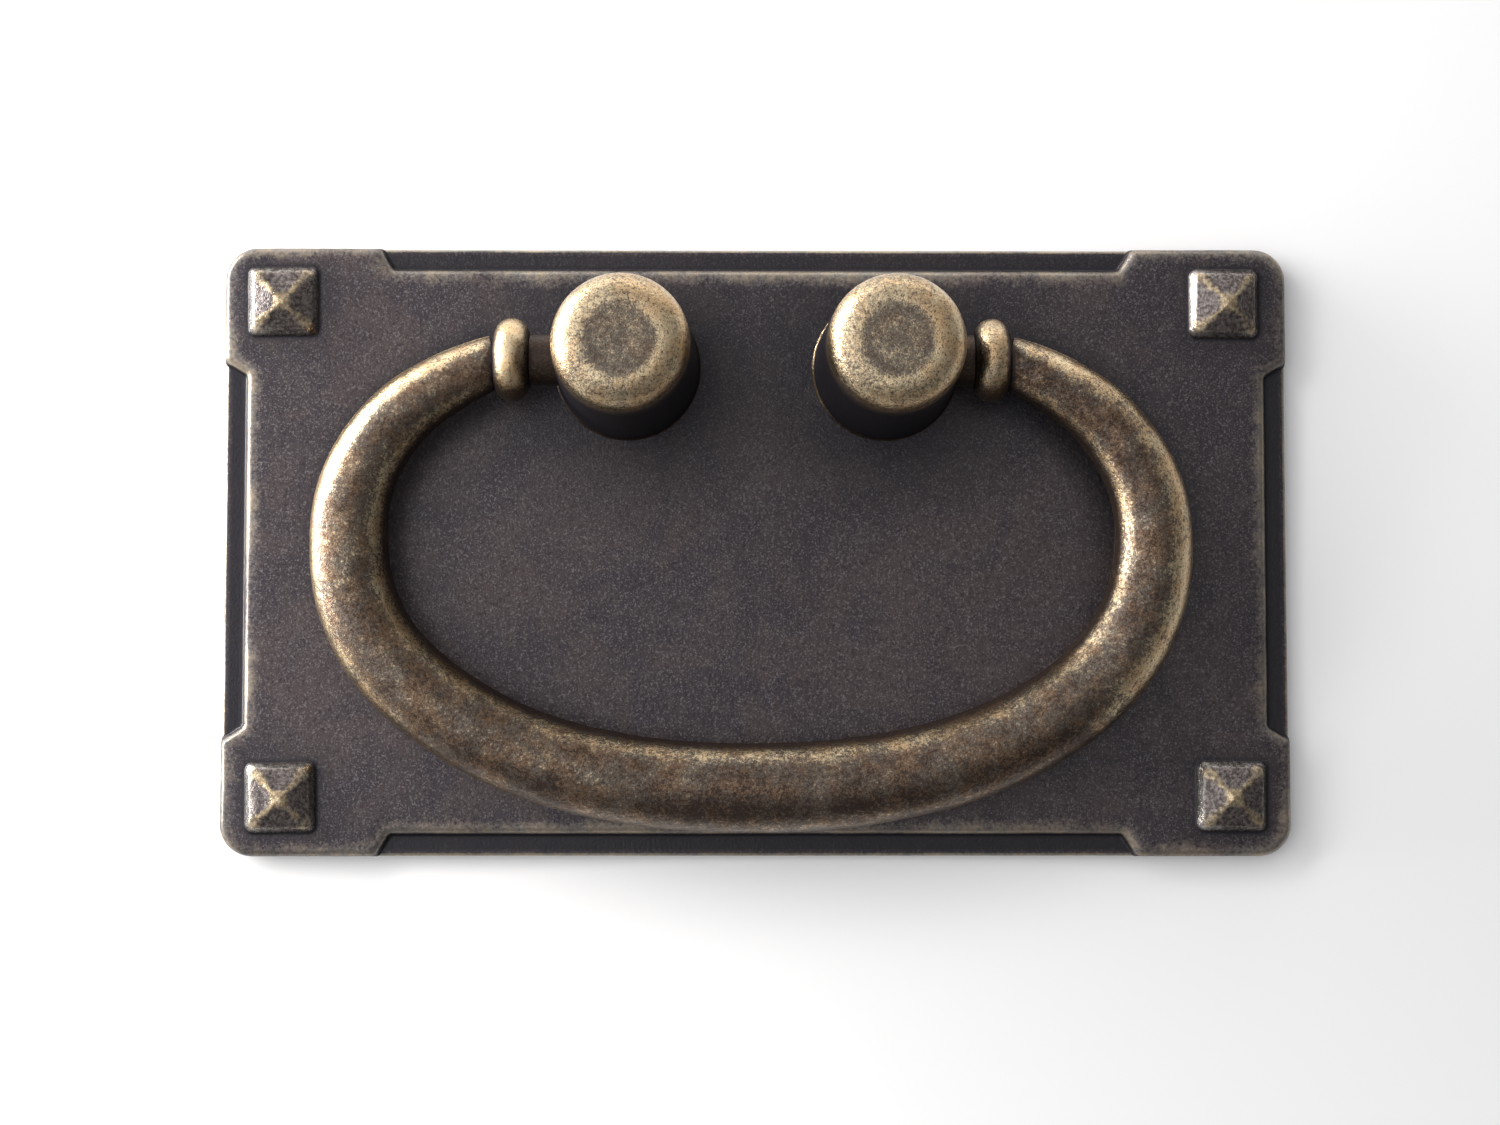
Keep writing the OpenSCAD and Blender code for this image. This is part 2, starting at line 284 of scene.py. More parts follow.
def normals(outline):
    """Outward normals of an anticlockwise outline."""
    ahead = np.roll(outline, -1, axis=0) - outline
    ahead /= np.linalg.norm(ahead, axis=1)[:, None]
    side = np.stack([ahead[:, 1], -ahead[:, 0]], axis=1)
    both = side + np.roll(side, 1, axis=0)
    return both / np.linalg.norm(both, axis=1)[:, None]


def inside(points, loops):
    """True for each point that an odd number of the closed loops holds."""
    hits = np.zeros(len(points), int)
    x, y = points[:, 0:1], points[:, 1:2]
    for loop in loops:
        a, b = loop, np.roll(loop, -1, axis=0)
        across = (a[:, 1] > y) != (b[:, 1] > y)
        with np.errstate(divide="ignore", invalid="ignore"):
            at = a[:, 0] + (y - a[:, 1]) * (b[:, 0] - a[:, 0]) / (b[:, 1] - a[:, 1])
        hits += (across & (x < at)).sum(axis=1)
    return hits % 2 == 1


def fill(loops, extra):
    """Triangles that fill the flat area between loops, with extra points inside.
    Vertex numbers count through the loops and then the extra points."""
    points = np.vstack([*loops, extra])
    edges, first = [], 0
    for loop in loops:
        n = len(loop)
        edges += [(first + i, first + (i + 1) % n) for i in range(n)]
        first += n
    made, _, faces, from_vert, _, _ = delaunay_2d_cdt(
        [Vector(p) for p in points], edges, [], 0, 1e-6
    )
    source = [ids[0] if ids else -1 for ids in from_vert]
    middles = np.array([np.mean([made[i] for i in f], axis=0) for f in faces])
    out = []
    for f, good in zip(faces, inside(middles, loops)):
        if good:
            corners = [source[i] for i in f]
            a, b, c = (points[i] for i in corners)
            turn = (b[0] - a[0]) * (c[1] - a[1]) - (b[1] - a[1]) * (c[0] - a[0])
            out.append(tuple(corners if turn > 0 else corners[::-1]))
    return out


def circle(x, y, r, count):
    a = np.arange(count) * 2 * math.pi / count
    return np.stack([x + r * np.cos(a), y + r * np.sin(a)], axis=1)


def gap_to(points, others):
    """Distance from each point of the plane to the nearest of the others."""
    return np.linalg.norm(points[:, None, :] - others[None, :, :], axis=2).min(axis=1)


def clear_of(grid, loops, margin):
    """The points of the grid that lie inside the loops and farther than margin from them."""
    keep = inside(grid, loops)
    for loop in loops:
        keep &= gap_to(grid, loop) > margin
    return grid[keep]


def nearest_of(points, places):
    """For each place in the plane, the number of the nearest point."""
    tree = KDTree(len(points))
    for i, (x, y) in enumerate(points):
        tree.insert((x, y, 0), i)
    tree.balance()
    return np.array([tree.find((x, y, 0))[1] for x, y in places])


def from_posts(places):
    """Distance from each place in the plane to the middle of the nearer post."""
    folded = np.column_stack([np.abs(places[:, 0]), places[:, 1]])
    return np.linalg.norm(folded - (POST_X, POST_Y), axis=1)


def lifted(points, z):
    """Points of the plane at height z, which is one number or one for each point."""
    return np.column_stack([points, np.broadcast_to(z, len(points))])


class Part:
    """Collects the vertices, faces and marks of one mesh."""

    def __init__(self, keys):
        self.verts, self.faces = [], []
        self.marks = {key: [] for key in keys}
        self.count = 0

    def ring(self, points, **marks):
        """Adds points with their marks, 0 where none is given, and returns their numbers."""
        points = np.asarray(points, float)
        self.verts.append(points)
        for key, values in self.marks.items():
            values.append(np.broadcast_to(marks.get(key, 0.0), len(points)).astype(float))
        first = self.count
        self.count += len(points)
        return list(range(first, self.count))

    def bands(self, rings, flip=False):
        for a, b in zip(rings, rings[1:]):
            quads = band_faces(a, b)
            self.faces += [q[::-1] for q in quads] if flip else quads


# Backplate


def field_outline():
    """Outline of the raised field, whose four corner blocks reach the plate's edge."""
    edge_x, edge_y = PLATE_W / 2, PLATE_H / 2
    in_x, in_y = edge_x - STRIP_W, edge_y - STRIP_W
    end_x, end_y = edge_x - BLOCK_W, edge_y - BLOCK_H
    steps, corner_steps, spacing = 6, 16, 0.5
    corners = [
        (in_x, end_y - BLOCK_LEAN, NOOK_R, steps),
        (edge_x, end_y, TIP_R, steps),
        (edge_x, edge_y, PLATE_CORNER, corner_steps),
        (end_x, edge_y, TIP_R, steps),
        (end_x - BLOCK_LEAN, in_y, NOOK_R, steps),
    ]
    return spaced(rounded(quarters(corners)), spacing)


def plate_partner(points):
    """For each point of the field's outline, the plate's edge beside it and the way out."""
    edge, out = points.copy(), np.zeros_like(points)
    for i, (x, y) in enumerate(points):
        cx = math.copysign(PLATE_W / 2 - PLATE_CORNER, x)
        cy = math.copysign(PLATE_H / 2 - PLATE_CORNER, y)
        if abs(x) > abs(cx) and abs(y) > abs(cy):
            away = np.array((x - cx, y - cy))
            out[i] = away / np.linalg.norm(away)
        elif PLATE_W / 2 - abs(x) < PLATE_H / 2 - abs(y):
            edge[i, 0] = math.copysign(PLATE_W / 2, x)
            out[i, 0] = math.copysign(1, x)
        else:
            edge[i, 1] = math.copysign(PLATE_H / 2, y)
            out[i, 1] = math.copysign(1, y)
    return edge, out


def stud_ring(half, r, turn, x, y):
    """Rounded square with the same number of points for every size."""
    arc_steps, side_steps = 5, 9
    signs = ((1, 1), (-1, 1), (-1, -1), (1, -1))
    arcs = rounded([(sx * half, sy * half, r, arc_steps) for sx, sy in signs])
    n = arc_steps + 1
    out = []
    for k in range(0, len(arcs), n):
        out += arcs[k : k + n]
        p, q = out[-1], arcs[(k + n) % len(arcs)]
        out += [p + (q - p) * i / side_steps for i in range(1, side_steps)]
    u, v = np.array(out).T
    c, s = math.cos(turn), math.sin(turn)
    return np.stack([x + u * c - v * s, y + u * s + v * c], axis=1)


def stud_levels():
    """Half side, corner radius, height, and darkening by patina and painted shade of each ring of
    a stud, from the field up.
    """
    half = STUD_SIDE / 2
    side, corner = half - SKIN, 0.74
    # A fillet darkened by patina and a painted contact shadow, and the bevelled side, with painted
    # shade low on it
    levels = [(half + 0.50, 1.05, 0.0, 0.35), (half + 0.26, 0.95, 0.0, 0.7)]
    levels += [(half + 0.10, 0.85, 0.01, 1.0), (half + 0.02, 0.80, 0.06, 1.0)]
    for k in range(5):
        t = k / 4
        z = STUD_FOOT + (STUD_WALL - STUD_FOOT) * t
        levels.append((side - STUD_BEVEL * t, corner, z, 0.5 * (1 - t) ** 3))
    # A curve that leaves along the bevel and arrives along the face
    control_in, control_up = 0.065, 0.095
    for k in range(1, 8):
        t = k / 8
        inward = 2 * t * (1 - t) * control_in + t * t * STUD_ROUND_W
        rise = 2 * t * (1 - t) * control_up + t * t * STUD_ROUND_H
        levels.append((side - STUD_BEVEL - inward, corner, STUD_WALL + rise, 0.0))
    # The sloping faces, and the worn tip
    crown = half - STUD_BEVEL - STUD_ROUND_W - SKIN
    steps = 16
    for k in range(1, steps + 1):
        t = k / steps
        z = STUD_CROWN + (STUD_TOP - STUD_CROWN) * (t - 0.07 * t**8)
        levels.append((crown * (1 - t) + STUD_TIP_HALF * t, 0.62 * (1 - t) + 0.14, z, 0.0))
    levels.append((STUD_TIP_HALF * 0.6, 0.1, STUD_TOP - SKIN, 0.0))
    return levels


def stud(part, sx, sy):
    """Adds one pyramid stud, and returns the numbers and the outline of its base."""
    turn, shift, lean = (np.array(value) for value in STUDS[sx, sy])
    middle = np.array((sx * STUD_X, sy * STUD_Y)) + shift
    rings, outlines = [], []
    for half, r, z, dirt_and_shade in stud_levels():
        ring = stud_ring(half, min(r, half * 0.95), turn, *middle)
        points = lifted(ring, z)
        fine = lumps(points, 0.45, 13)
        dents = lumps(points, 1.1, 12) * 0.05 + fine * 0.025
        t = max(0.0, (z - STUD_CROWN) / (STUD_TOP - STUD_CROWN))

        # Worn along the four ridges, round the top of the bevels, and on the tip
        away = np.abs(ring - middle)
        corner = away.min(axis=1) / np.maximum(away.max(axis=1), 1e-6)
        ridge = smooth((corner - 0.50 + 0.16 * fine) / 0.46)
        patchy = 0.56 + 0.24 * t + 0.45 * lumps(points, 0.7, 14)
        worn = ridge * patchy * smooth((z - 0.3) / 0.4)
        worn = np.maximum(worn, smooth((t - 0.62) / 0.30) * (0.80 + 0.3 * fine))
        worn = worn + 0.12 * bell(z, 0.9, 0.15)

        # The left bevels are the palest, a painted highlight, and the left faces of the left studs
        # are darker, painted shade
        slope = smooth((z - 0.16) / 0.25) * (1 - smooth((z - 0.78) / 0.24))
        leftward = smooth((-(ring - middle)[:, 0] / half - 0.1) / 0.7)
        pale_and_highlight = slope * (0.22 + 0.68 * leftward + 0.5 * fine)
        shade = 0.60 * leftward * smooth(t / 0.15) * (sx < 0)

        uneven = (ring - middle) / (STUD_SIDE / 2) * (dents - SKIN)[:, None] * (z > 0)
        place = lifted(ring + lean * t + uneven, PLATE_T + z + dents * smooth(t * 4) * 0.6)
        bare = smooth((z - 0.04) / 0.12)
        rings.append(part.ring(place, rub=worn, grime=dirt_and_shade + shade, cast=bare, bevel=pale_and_highlight))
        outlines.append(ring)
    part.bands(rings)
    tip = part.ring([(*(middle + lean), PLATE_T + STUD_TOP - SKIN)], rub=1.0, cast=1.0)
    last = rings[-1]
    part.faces += [(last[i], last[(i + 1) % len(last)], tip[0]) for i in range(len(last))]
    return rings[0], outlines[0]


def side_rings(part, outline, edge, out):
    """Adds the rings round the plate, from the top of the field's rounded edge to the back.
    Returns their numbers, and the outlines of the first and the last."""
    side = normals(outline)
    flat = lifted(outline, 0.0)
    wobble = lumps(flat, 4.5, 1) * 0.035 + lumps(flat, 1.2, 2) * 0.012
    worn = 0.75 + 0.4 * lumps(flat, 5.0, 3)
    radius = FIELD_ROUND * (1 + 2.0 * wobble)
    rings, outlines = [], []
    steps = 8
    for k in range(steps + 1):
        a = math.radians(90 - 90 * k / steps)
        inward = radius * (1 - math.cos(a)) + SKIN + wobble * 0.6
        outlines.append(outline - side * inward[:, None])
        z = PLATE_T - radius * (1 - math.sin(a))
        rub = worn * (0.46 + 0.18 * math.sin(2 * a))
        rings.append(part.ring(lifted(outlines[-1], z), rub=rub))

    # Below the rounding: the wall and the floor of a strip, and the slab's rounded edge
    levels = [("wall", k / 2) for k in range(1, 3)]
    levels += [("fillet", k / 4) for k in range(1, 5)]
    levels += [("floor", k / 4) for k in range(1, 4)]
    levels += [("edge", k / 5) for k in range(6)]
    # 1 where there is a strip, and 0 where a block reaches the plate's edge
    strip = smooth(np.linalg.norm(edge - outline, axis=1) / 0.5)
    top_strip = outline[:, 1] > PLATE_H / 2 - BLOCK_H
    wall_top = PLATE_T - radius
    wall = outline - side * (SKIN + wobble * 0.6)[:, None]
    foot = wall + side * WALL_DRAFT
    inner = foot + side * WALL_FILLET
    rim = edge - out * (SLAB_ROUND + RIM_SKIN)
    # The strips are darkened down the wall, in the fillet and on the floor: patina in the hollows
    # together with painted shade. The top strip's floor is a little less dark.
    for n, (kind, t) in enumerate(levels):
        a = math.radians(90 * t)
        if kind == "wall":
            xy = wall + (foot - wall) * t
            z = wall_top + (STRIP_Z + WALL_FILLET - wall_top) * t
            rub, grime = 0.25 * (1 - t), 0.6 * t
        elif kind == "fillet":
            xy = foot + side * WALL_FILLET * (1 - math.cos(a))
            z = STRIP_Z + WALL_FILLET * (1 - math.sin(a))
            rub, grime = 0.0, 1.0
        elif kind == "floor":
            xy = inner + (rim - inner) * t
            z = STRIP_Z
            rub, grime = 0.0, 1 - 0.2 * top_strip
        else:
            xy = rim + out * SLAB_ROUND * math.sin(a)
            z = STRIP_Z - SLAB_ROUND * (1 - math.cos(a))
            rub, grime = 0.9 * math.sin(2 * a) ** 0.5, 0.3 * (1 - t)
        plain = edge - out * SKIN
        plain_z = wall_top + (STRIP_Z - SLAB_ROUND - wall_top) * (n + 1) / len(levels)
        xy = xy * strip[:, None] + plain * (1 - strip[:, None])
        z = z * strip + plain_z * (1 - strip)
        rub = rub * strip * worn + 0.12 * (1 - strip)
        rings.append(part.ring(lifted(xy, z), rub=rub, grime=grime * strip))
    for z, inward in BACK_RINGS:
        outlines.append(edge - out * inward)
        rings.append(part.ring(lifted(outlines[-1], z), rub=0.1, grime=0.2))
    part.bands(rings, flip=True)
    return rings, outlines[0], outlines[-1]


def field_marks(grid, top_ring):
    """Worn metal beside the field's edge; painted shade round the posts, where the plate is also
    dirty, and round the studs; and a painted shadow beside the bail.
    """
    rub = (1 - gap_to(grid, top_ring) / 1.2).clip(0) * 0.38
    rub *= 0.75 + 0.4 * lumps(lifted(grid, 0.0), 5.0, 3)
    # Painted shade round the posts and the studs, and a painted shadow beside the upper part of
    # the bail
    post_dirt_and_shade = 0.66 * smooth(1 - (from_posts(grid) - 7.5) / 12)
    to_stud = np.abs(np.abs(grid) - (STUD_X, STUD_Y)).max(axis=1)
    stud_shade = 0.42 * smooth(1 - (to_stud - 3.6) / 2.6)
    to_bail = gap_to(grid, rod_path(60)[0] + (PIVOT.x, PIVOT.y))
    upper = smooth((grid[:, 1] + 10) / 16)
    bail_shadow = 0.75 * upper * smooth(1 - (to_bail - 3.6) / 2.6)
    return rub, np.maximum.reduce([post_dirt_and_shade, stud_shade, bail_shadow])


def field_top(part, edge_ids, edge_loop):
    """Adds the top of the field with its studs, and returns the numbers round each hole."""
    numbers, loops = list(edge_ids), [edge_loop]
    for sx, sy in STUDS:
        base, ring = stud(part, sx, sy)
        numbers += base
        loops.append(ring)
    holes = []
    for sx in (1, -1):
        ring = circle(sx * POST_X, POST_Y, HOLE_R, HOLE_POINTS)
        ids = part.ring(lifted(ring, PLATE_T), grime=0.66)
        numbers += ids
        loops.append(ring)
        holes.append((sx, ids))
    # Rows of points in between, every second one moved by half a step
    step = 1.1
    rows = enumerate(np.arange(-30 + step, 30, step * 0.87))
    places = np.arange(-52 + step, 52, step)
    grid = np.array([(x + (step / 2 if j % 2 else 0), y) for j, y in rows for x in places])
    grid = clear_of(grid, loops, step * 0.55)
    rub, grime = field_marks(grid, edge_loop)
    numbers += part.ring(lifted(grid, PLATE_T), rub=rub, grime=grime)
    part.faces += [tuple(numbers[i] for i in f) for f in fill(loops, grid)]
    return holes


def plate_back(part, edge_ids, edge_loop, holes):
    """Adds the back of the plate, with the spigot holes and their countersinks."""
    numbers, loops = list(edge_ids), [edge_loop]
    for sx, ids in holes:
        at = (sx * POST_X, POST_Y)
        low = part.ring(lifted(circle(*at, HOLE_R, HOLE_POINTS), STAKE), grime=1.0)
        flare = circle(*at, HOLE_R + STAKE, HOLE_POINTS)
        end = part.ring(lifted(flare, 0.0), grime=0.5)
        part.bands([ids, low, end])
        numbers += end
        loops.append(flare)
    grid = [(x, y) for y in np.arange(-25, 26, 5.0) for x in np.arange(-48, 49, 6.0)]
    grid = clear_of(np.array(grid), loops, 1)
    numbers += part.ring(lifted(grid, 0.0), grime=0.2)
    part.faces += [tuple(numbers[i] for i in f)[::-1] for f in fill(loops, grid)]


def warp_plate(verts, outline):
    """A casting is never quite flat: low swells on the face, none under the posts, and a face
    that drops a little towards the field's edge."""
    flat = lifted(verts[:, :2], 0.0)
    inward = verts[:, :2] - outline[nearest_of(outline, verts[:, :2])]
    drop = 0.15 * (1 - np.linalg.norm(inward, axis=1) / 1.4).clip(0) ** 2
    swell = lumps(flat, 9.0, 4) * 0.035 + lumps(flat, 3.0, 5) * 0.012
    verts[:, 2] -= drop * smooth((verts[:, 2] - 2.2) / 0.6)
    share = smooth((from_posts(flat) - 6.5) / 3) * smooth((verts[:, 2] - 1.5) / 0.6)
    verts[:, 2] += (swell - 0.01) * share
    return verts


def make_plate():
    """The backplate, marked with its worn bare metal, its dark patina with painted shade, cast
    (the studs' paler metal) and bevel (the paler sides of the studs, with a painted highlight on
    the left-facing ones)."""
    part = Part(["rub", "grime", "cast", "bevel"])
    outline = field_outline()
    rings, top, bottom = side_rings(part, outline, *plate_partner(outline))
    holes = field_top(part, rings[0], top)
    plate_back(part, rings[-1], bottom, holes)
    verts = warp_plate(np.vstack(part.verts), outline)
    marks = {key: np.concatenate(values) for key, values in part.marks.items()}
    return new_object("plate_casting", verts, part.faces, marks, sharp=50)


# Posts


def post_profile():
    """Radius and height from the top of the head, round the outside, and up the tapped hole."""
    straight, flat_r = POST_TOP - SHOULDER_R, HEAD_R - SHOULDER_R
    flare = [(FOOT_R + out, PLATE_T + up) for out, up in FOOT_FLARE]
    lead_r = TAPPED_R + TAPPED_LEAD
    p = [(0, POST_TOP)]
    p += line((0, POST_TOP), (flat_r, POST_TOP), 8)
    p += arc(flat_r, straight, SHOULDER_R, 90, 0, 24)[1:]
    p += line((HEAD_R, straight), flare[0], 16)
    p += flare[1:]
    p += line(flare[-1], (SPIGOT_R, PLATE_T), 2)
    p += [(SPIGOT_R, STAKE), (SPIGOT_R + STAKE, 0.03), (SPIGOT_R + STAKE - 0.05, 0)]
    p += [(lead_r + 0.3, 0), (lead_r, 0), (TAPPED_R, TAPPED_LEAD)]
    end = TAPPED_LEAD + TAPPED_LENGTH
    z = TAPPED_LEAD + 0.25
    while z < end - THREAD_PITCH:
        p += [(TAPPED_R + deep, z + up) for deep, up in THREAD_GROOVE]
        z += THREAD_PITCH
    p += [(TAPPED_R, end), (0, end + TAPPED_R / math.tan(DRILL_HALF_ANGLE))]
    return p


def pin_bore(sx):
    """Cutter for the blind bore that takes the bail's pin, in a post that stands at x = 0."""
    r, length = PIN_D / 2 + PIN_GAP, 8
    bore = new_object("bore", *lathe([(0, 0), (r, 0), (r, length), (0, length)], 64))
    lay_along_x(bore, sx, ((BORE_END_X - POST_X) * MM, 0, PIVOT.z * MM))
    return bore


def mark_post(post, sx):
    """Bright shoulder and head, brighter on the right by a painted highlight, a side darkened by
    painted shade, and faint rings on the head from turning. The mark named even is 1 where the
    patina is finer: on the posts and the bail's collars."""
    co = points_of(post)
    r = np.linalg.norm(co[:, :2], axis=1)
    shoulder = smooth((co[:, 2] - (POST_TOP - SHOULDER_R - 1.0)) / 1.6)
    disc = smooth((r - (HEAD_R - SHOULDER_R) + 0.9) / 1.1)
    turned = 0.22 * bell(r, 1.6, 0.7) - 0.10 * bell(r, 2.9, 0.5)
    # Painted highlight: the right side of the head is made brighter
    rightward = np.clip(co[:, 0] / np.maximum(r, 1), 0, 1) * disc
    rub = shoulder * (0.22 + 0.62 * disc + turned + 0.26 * rightward)
    # Painted shade: the side below the head is darkened towards black
    grime = 1 - smooth((co[:, 2] - POST_TOP + SHOULDER_R + 2.3) / 2.4)
    # The flare is less dark than the side, and on the upper left of the right post it carries a
    # painted highlight
    foot = (r > FOOT_R - 0.02) * (co[:, 2] < PLATE_T + 0.35) * (co[:, 2] > PLATE_T - 0.01)
    lit = smooth((-co[:, 0] + 0.35 * co[:, 1]) / np.maximum(r, 1) / 0.9 - 0.15) * (sx > 0)
    above_plate = co[:, 2] > PLATE_T - 0.1
    mark(post, "rub", np.maximum(rub, 2.2 * foot * lit))
    mark(post, "grime", grime * (1 - foot * np.maximum(lit, 0.3)) * above_plate)
    mark(post, "even", np.ones(len(co)))


def make_post(name, sx):
    verts, faces = lathe(post_profile(), 160)
    # The outside isn't perfectly round, and the two posts aren't alike
    r = np.linalg.norm(verts[:, :2], axis=1)
    outer = (verts[:, 2] > PLATE_T + 0.1) & (r > TAPPED_R + 0.5) | (verts[:, 2] > 18)
    place = verts + (sx * 40, 0, 0)
    dents = lumps(place, 2.4, 6) * 0.02 + lumps(place, 0.9, 7) * 0.008
    shrink = np.where(outer, 1 - (0.025 - dents) / np.maximum(r, 3), 1.0)
    verts[:, :2] *= shrink[:, None]
    verts[:, 2] -= np.where(outer & (verts[:, 2] > 20), 0.02 - dents * 0.8, 0)
    post = new_object(name, verts, [f[::-1] for f in faces])
    combine(post, pin_bore(sx), "DIFFERENCE")
    mark_post(post, sx)
    post.data.transform(Matrix.Translation((sx * POST_X * MM, POST_Y * MM, 0)))
    finish_mesh(post, 40)
    return post


# Bail


def bail_frame():
    """The bail lies a little below level at rest, about its pivot axis."""
    reach = BAIL_DROP - ROD_GRIP / 2
    slope = math.asin((PIVOT_RISE - REST_GAP - ROD_GRIP * ROD_DEPTH / 2) / reach)
    return Matrix.Translation(PIVOT * MM) @ Matrix.Rotation(slope, 4, "X")


def rod_path(count):
    """Middle line of the rod in the bail's plane, from the right collar to the left one, with
    count steps a side. Returns its points, the way out of the loop and the rod's width."""
    half_w = BAIL_W / 2 - ROD_SIDE / 2
    start = math.acos(((COLLAR_OUT - ROD_IN_COLLAR) / half_w) ** (UPPER_POWER / 2))
    sweep = start + math.pi / 2
    rise = BAIL_WIDEST / math.sin(start) ** (2 / UPPER_POWER)
    drop = BAIL_DROP - ROD_GRIP / 2 - BAIL_WIDEST

    def point(angle):
        share = 2 / (UPPER_POWER if angle > 0 else LOWER_POWER)
        x = half_w * max(math.cos(angle), 0) ** share
        y = abs(math.sin(angle)) ** share
        return np.array((x, -BAIL_WIDEST + (rise if angle > 0 else -drop) * y))

    # Even steps along the curve, by way of a fine division of its angle
    fine_steps = 2000
    fine = [point(start - sweep * k / fine_steps) for k in range(fine_steps + 1)]
    chords = np.linalg.norm(np.diff(fine, axis=0), axis=1)
    length = np.concatenate([[0], np.cumsum(chords)])
    even = np.linspace(0, length[-1], count + 1)
    shares = np.interp(even, length, np.linspace(0, 1, fine_steps + 1))
    half = np.array([point(start - sweep * s) for s in shares])
    pts = np.concatenate([half, half[-2::-1] * (-1, 1)])
    shares = np.concatenate([shares, shares[-2::-1]])
    is_left = pts[:, 0] < 0
    for on_left, share, width, size, way in BAIL_MOVES:
        move = np.where(is_left == on_left, size, 0.0) * bell(shares, share, width)
        pts += move[:, None] * way
    along = np.gradient(pts, axis=0)
    along /= np.linalg.norm(along, axis=1)[:, None]
    outward = np.stack([-along[:, 1], along[:, 0]], axis=1)
    # The rod swells so that it has its side width where the loop is widest
    gain = (ROD_SIDE - ROD_END) / (ROD_GRIP - ROD_END)
    power = math.log(math.asin(gain) / (math.pi / 2)) / math.log(start / sweep)
    width = ROD_END + (ROD_GRIP - ROD_END) * np.sin(math.pi / 2 * shares**power)
    return pts, outward, width


def rod_rings(path, outward, width, around):
    """Oval rings of points along the rod, with the fine ridge of the parting line."""
    angles = 2 * math.pi * np.arange(around) / around
    # Points gather at the parting line, at 0 and 180 degrees
    angles = angles - 0.35 * np.sin(2 * angles) / 2
    ridge = bell(np.sin(angles), 0.0, 0.035) * 0.10
    rings = []
    for p, n, w in zip(path, outward, width):
        lateral = (w / 2 - 0.05) * np.cos(angles) + np.sign(np.cos(angles)) * ridge
        up = w * ROD_DEPTH / 2 * np.sin(angles)
        rings.append(np.stack([p[0] + n[0] * lateral, p[1] + n[1] * lateral, up], axis=1))
    return rings


def bail_end(sx):
    """Pin, neck and bead-like collar of one side, turned about X."""
    pin_r = PIN_D / 2
    profile = [(0, PIN_END_X), (pin_r - PIN_CHAMFER, PIN_END_X)]
    profile += [(pin_r, PIN_END_X + PIN_CHAMFER)]
    profile += line(profile[-1], (pin_r, COLLAR_IN - 0.12), 10)
    profile += [(pin_r + 0.04, COLLAR_IN - 0.04), (pin_r + 0.12, COLLAR_IN)]
    middle, bead = (COLLAR_IN + COLLAR_OUT) / 2, COLLAR_D / 2 - BEAD_ROOT
    steps = 32
    for k in range(steps + 1):
        a = math.radians(-90 + 180 * k / steps)
        profile.append((BEAD_ROOT + bead * math.cos(a), middle + math.sin(a) * COLLAR_T / 2))
    profile += [(1.5, COLLAR_OUT), (0, COLLAR_OUT)]
    verts, faces = lathe(profile, 96)
    dents = lumps(verts + (0, 0, sx * 30), 1.8, 10) * 0.03
    r = np.linalg.norm(verts[:, :2], axis=1)
    on_collar = (verts[:, 2] > COLLAR_IN + 0.2) & (r > 3)
    verts[:, :2] *= np.where(on_collar, 1 + (dents - SKIN) / np.maximum(r, 1), 1)[:, None]
    end = new_object("bail_end", verts, faces)
    lay_along_x(end, sx)
    return end


def mark_bail(bail, path, outward, radius):
    """Marks where hands have worn the bail bright and where dark patina stays, with a painted
    sheen on the outer band and painted shade on the underside, the inner edge and the collars.
    """
    co = points_of(bail)
    x = np.abs(co[:, 0])
    from_axis = np.linalg.norm(co[:, 1:], axis=1)
    at_end = (from_axis < COLLAR_D / 2 + 0.3) & (x < COLLAR_OUT + 0.15)
    collar = at_end & (x > COLLAR_IN - 0.01)
    crest = smooth((from_axis - 2.9) / 0.9)
    # The left collar is made brighter than the right one, a painted highlight
    collar_rub = 0.25 + 0.75 * crest + 0.35 * (co[:, 0] < 0)

    # Darker in the groove beside the rod, on the pin and at the collar's root, patina with painted
    # shade, and painted shade on the collar's lower side
    dirt_and_shade = np.exp(-np.abs(x - COLLAR_OUT) / 0.35) * (from_axis < 3.6)
    dirt_and_shade += 0.7 * (at_end & ~collar)
    root = 1 - smooth((from_axis - 2.4) / 0.8)
    dirt_and_shade += collar * (root + 0.75 * smooth((-co[:, 1] - 2.2) / 1.8))

    # Where each point is on the rod: -1 is the inner side of the loop, 1 the outer one
    nearest = nearest_of(path, co[:, :2])
    across = ((co[:, :2] - path[nearest]) * outward[nearest]).sum(axis=1) / radius[nearest]
    grip = smooth((-co[:, 1] - 29) / 10)
    left = smooth((-co[:, 0] - 14) / 16) * (1 - grip)
    right = smooth((co[:, 0] - 14) / 16) * (1 - grip)
    upper_left = left * smooth((co[:, 1] + 16) / 8)
    # Painted sheen: the bright outer band is wider on the right arm and on the upper left
    painted_sheen_widening = 0.43 * right + 0.30 * upper_left
    outer = smooth((across - 0.55 + painted_sheen_widening) / (0.30 + 0.15 * right))
    # Painted shade on the last of the rod's side inside the loop, where it turns to face the
    # plate, and no bright band there
    turned_in = smooth((-across - 0.84) / 0.13)
    inner = smooth((-across - 0.45) / 0.30) * (1 - 0.9 * turned_in)
    worn = outer * 1.05 * (left + right)
    worn += inner * (0.95 * left + 0.65 * right + 0.72 * grip)
    worn -= 0.18 * (1 - outer) * (1 - inner) * (grip + right)
    worn -= 0.35 * grip * bell(across, 0.52, 0.22)
    # Painted shade on the rod's underside and on the last of its inner side
    under = smooth((-co[:, 2] / radius[nearest] - 0.20) / 0.55)
    underside_shade = np.maximum(0.68 * under, 0.62 * turned_in) * ~at_end
    mark(bail, "rub", np.where(at_end, collar_rub * collar, worn))
    mark(bail, "grime", np.clip(np.maximum(dirt_and_shade, underside_shade), 0, 1))
    mark(bail, "even", collar.astype(float))


